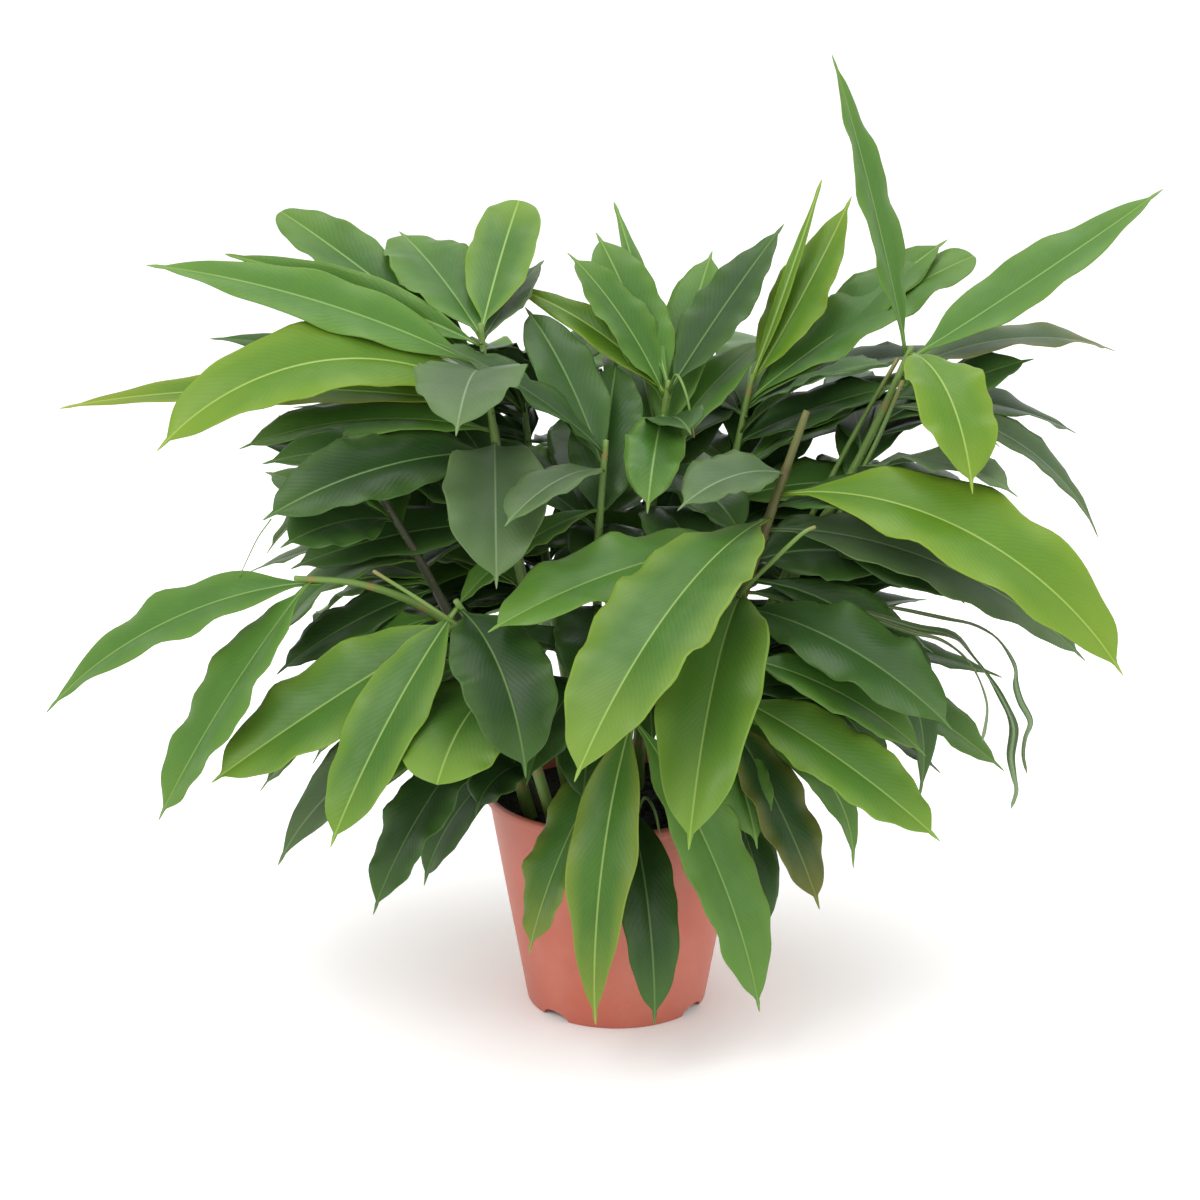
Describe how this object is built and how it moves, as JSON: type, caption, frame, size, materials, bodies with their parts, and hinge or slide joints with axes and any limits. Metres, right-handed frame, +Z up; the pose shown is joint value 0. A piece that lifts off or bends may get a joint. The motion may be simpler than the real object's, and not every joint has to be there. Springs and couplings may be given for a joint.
{
  "type": "potted cardamom plant",
  "caption": "Leafy cardamom houseplant: arching canes with long pointed leaves, growing in soil in a tapered plastic nursery pot.",
  "frame": {"origin": "middle of the pot's foot, on the surface it stands on, which is the middle of the plant's spread", "axes": "+Z up, +X the plant's right seen from its front, -Y the front"},
  "size_m": [0.77, 0.5755, 0.672],
  "materials": {
    "pot": "injection-moulded terracotta-coloured polypropylene, satin",
    "soil": "damp peat potting soil, matte",
    "cane": "living green leaf sheaths, satin",
    "dry_cane": "old cut cane in drying sheaths, matte",
    "leaf_young": "young yellow-green leaf, satin",
    "leaf_fresh": "fresh leaf with a lime margin, satin",
    "leaf_green": "mature green leaf, satin gloss",
    "leaf_dark": "dark old leaf, glossy",
    "leaf_sheen": "mature leaf under a grey-green sheen, satin"
  },
  "bodies": {
    "root": {"pot": "pot", "soil": "soil", "cane_high_left": "cane", "cane_mid_left": "cane", "cane_low_left": "cane", "cane_front_left": "cane", "cane_centre": "cane", "cane_centre_high": "cane", "cane_high_back": "cane", "cane_cut_top": "dry_cane", "cane_high_right": "cane", "cane_low_right": "cane", "cane_front": "cane", "cane_back": "cane", "leaf_high_left_1": "leaf_green", "leaf_high_left_2": "leaf_green", "leaf_high_left_3": "leaf_fresh", "leaf_high_left_4": "leaf_green", "leaf_high_left_5": "leaf_young", "leaf_high_left_6": "leaf_young", "leaf_high_left_7": "leaf_sheen", "leaf_high_left_8": "leaf_dark", "leaf_high_left_9": "leaf_sheen", "leaf_mid_left_1": "leaf_dark", "leaf_low_left_1": "leaf_green", "leaf_low_left_2": "leaf_green", "leaf_front_left_1": "leaf_fresh", "leaf_front_left_2": "leaf_fresh", "leaf_front_left_3": "leaf_fresh", "leaf_front_left_4": "leaf_dark", "leaf_front_left_5": "leaf_dark", "leaf_centre_1": "leaf_dark", "leaf_centre_2": "leaf_dark", "leaf_centre_high_1": "leaf_dark", "leaf_centre_high_2": "leaf_green", "leaf_centre_high_3": "leaf_green", "leaf_high_back_1": "leaf_young", "leaf_high_back_2": "leaf_green", "leaf_high_back_3": "leaf_green", "leaf_high_back_4": "leaf_dark", "leaf_cut_top_1": "leaf_fresh", "leaf_cut_top_2": "leaf_green", "leaf_cut_top_3": "leaf_fresh", "leaf_cut_top_4": "leaf_young", "leaf_cut_top_5": "leaf_sheen", "leaf_cut_top_6": "leaf_dark", "leaf_high_right_1": "leaf_green", "leaf_high_right_2": "leaf_green", "leaf_high_right_3": "leaf_young", "leaf_high_right_4": "leaf_sheen", "leaf_high_right_5": "leaf_dark", "leaf_low_right_1": "leaf_fresh", "leaf_low_right_2": "leaf_dark", "leaf_front_1": "leaf_green", "leaf_front_2": "leaf_fresh", "leaf_front_3": "leaf_dark", "leaf_front_4": "leaf_green", "leaf_back_1": "leaf_green", "leaf_back_2": "leaf_dark", "leaf_back_3": "leaf_green"}
  },
  "joints": []
}
